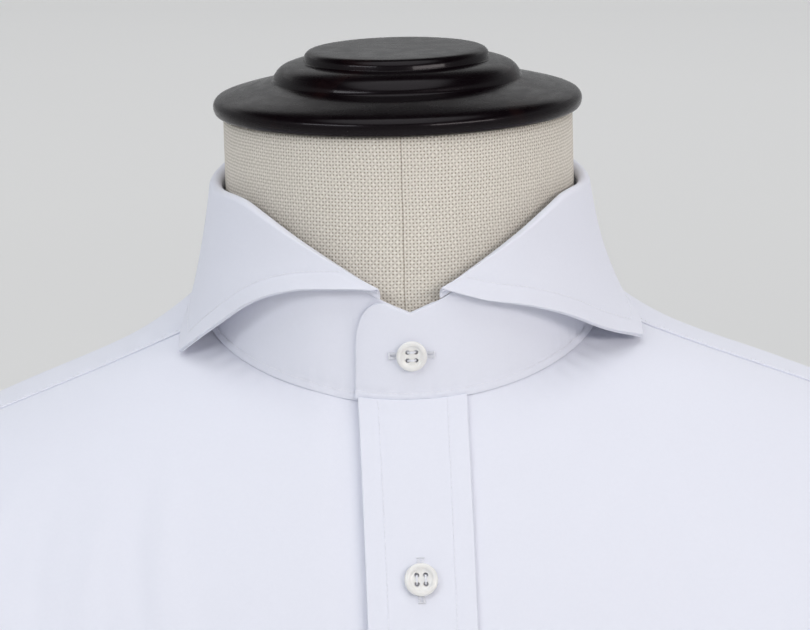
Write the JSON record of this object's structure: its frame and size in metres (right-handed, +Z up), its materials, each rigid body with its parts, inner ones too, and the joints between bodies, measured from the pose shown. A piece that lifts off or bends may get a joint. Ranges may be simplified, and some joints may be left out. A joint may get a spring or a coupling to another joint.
{
  "type": "cutaway-collar shirt on a dress form",
  "caption": "White long-sleeved shirt with a wide cutaway collar, buttoned and worn by a limbless linen dress form with a turned neck cap, pole and round base",
  "frame": {"origin": "on the floor, under the middle of the round base", "axes": "+Z up along the pole, the wearer faces -Y, +X is the wearer's left"},
  "size_m": [0.5158, 0.31, 1.0408],
  "materials": {
    "shirt_cotton": "fine plain poplin weave",
    "button": "pearly white",
    "form_linen": "coarse oat linen",
    "cap_wood": "black lacquer",
    "stand_metal": "satin black"
  },
  "bodies": {
    "root": {"front_left": "shirt_cotton", "front_right": "shirt_cotton", "front_placket": "shirt_cotton", "yoke": "shirt_cotton", "back": "shirt_cotton", "collar_band": "shirt_cotton", "collar_leaf": "shirt_cotton", "sleeve_left": "shirt_cotton", "sleeve_right": "shirt_cotton", "sleeve_placket_left": "shirt_cotton", "sleeve_placket_right": "shirt_cotton", "cuff_left": "shirt_cotton", "cuff_right": "shirt_cotton", "collar_button": "button", "front_button_1": "button", "front_button_2": "button", "front_button_3": "button", "front_button_4": "button", "front_button_5": "button", "front_button_6": "button", "cuff_button_left": "button", "cuff_button_right": "button", "form_body": "form_linen", "neck_cap": "cap_wood", "form_base_plate": "stand_metal", "stand_pole": "stand_metal", "stand_base": "stand_metal"}
  },
  "joints": []
}
